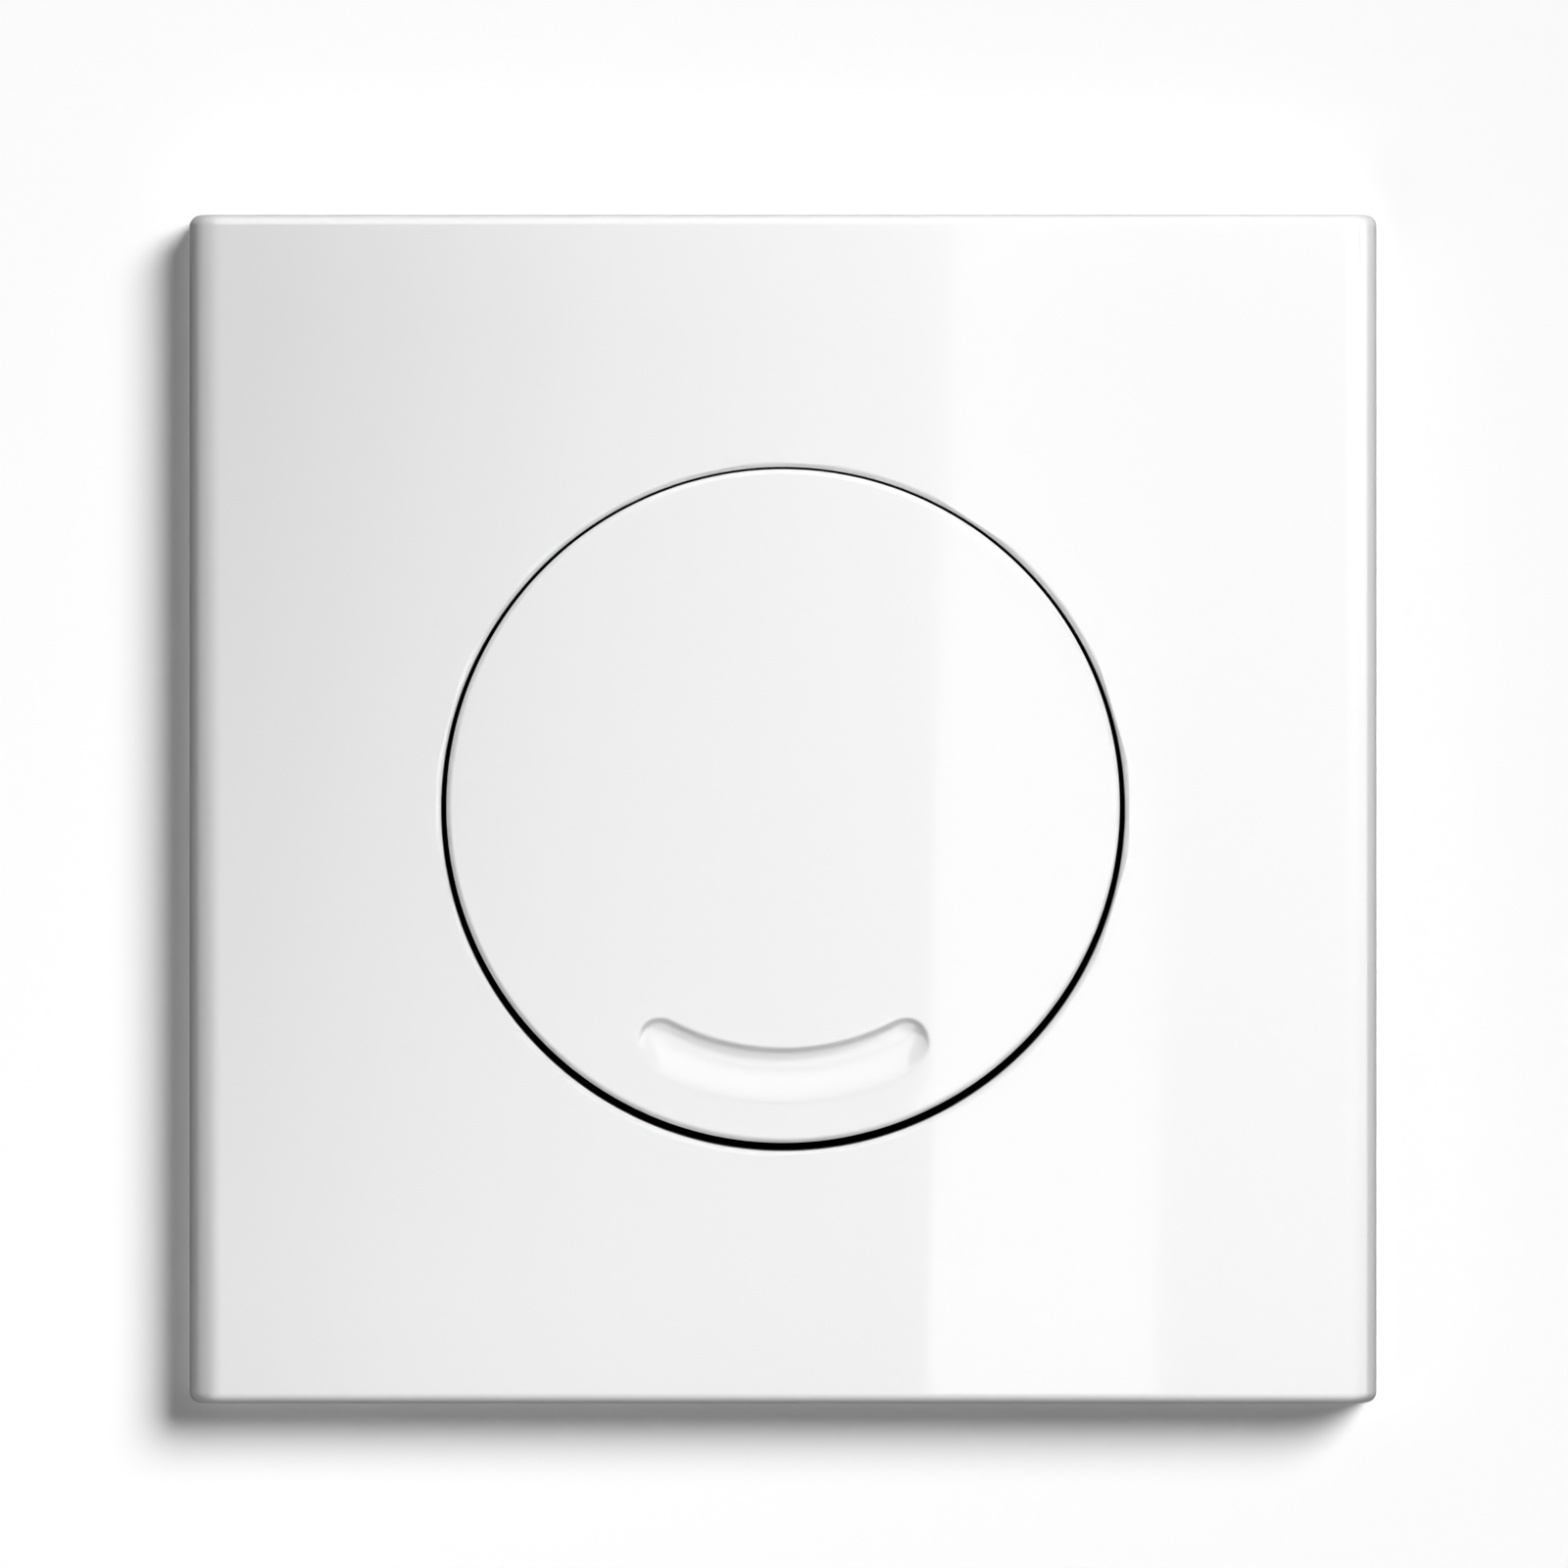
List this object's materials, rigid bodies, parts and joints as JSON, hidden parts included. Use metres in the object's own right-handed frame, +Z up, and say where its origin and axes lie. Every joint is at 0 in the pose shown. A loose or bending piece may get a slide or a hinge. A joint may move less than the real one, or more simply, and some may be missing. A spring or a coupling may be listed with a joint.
{
  "type": "flush plate",
  "caption": "Square white wall plate with a round tilting flush button that pushes a spring-loaded rod into a concealed cistern; the cover clips onto a mounting frame.",
  "frame": {"origin": "centre of the plate on the face of the wall, midway between the two wall studs", "axes": "+X to the right, +Y into the wall, +Z up"},
  "size_m": [0.16, 0.0856, 0.16],
  "materials": {
    "gloss_white": "gloss",
    "rocker_plastic": "satin",
    "frame_plastic": "matte",
    "nut_plastic": "satin",
    "rod_plastic": "satin",
    "pin_steel": "ground",
    "zinc_steel": "zinc plated",
    "spring_steel": "drawn",
    "rubber": "matte"
  },
  "bodies": {
    "base": {"cover_plate": "gloss_white", "mounting_frame": "frame_plastic", "left_hinge_pin": "pin_steel", "right_hinge_pin": "pin_steel", "fixing_studs": "zinc_steel", "stud_washers": "zinc_steel", "stud_nuts": "nut_plastic", "guide_bush": "rod_plastic", "return_spring": "spring_steel", "left_buffer": "rubber", "right_buffer": "rubber"},
    "button": {"flush_button": "gloss_white", "button_rocker": "rocker_plastic"},
    "rod": {"push_rod": "rod_plastic", "retaining_clip": "spring_steel", "adjusting_screw": "zinc_steel", "lock_nut": "zinc_steel", "rod_tip": "rubber"}
  },
  "joints": [
    {"name": "button_press", "type": "hinge", "parent": "base", "child": "button", "pos_m": [0, 0.001, 0.0355], "axis": [1, 0, 0], "range_deg": [0, 5]},
    {"name": "rod_push", "type": "slide", "parent": "base", "child": "rod", "axis": [0, 1, 0], "range_m": [0, 0.0047], "stiffness_N_per_m": 400, "springref_m": -0.01, "deforming": ["return_spring"]}
  ],
  "couplings": [
    {"joint": "rod_push", "follows": "button_press", "m_per_rad": 0.0535}
  ]
}
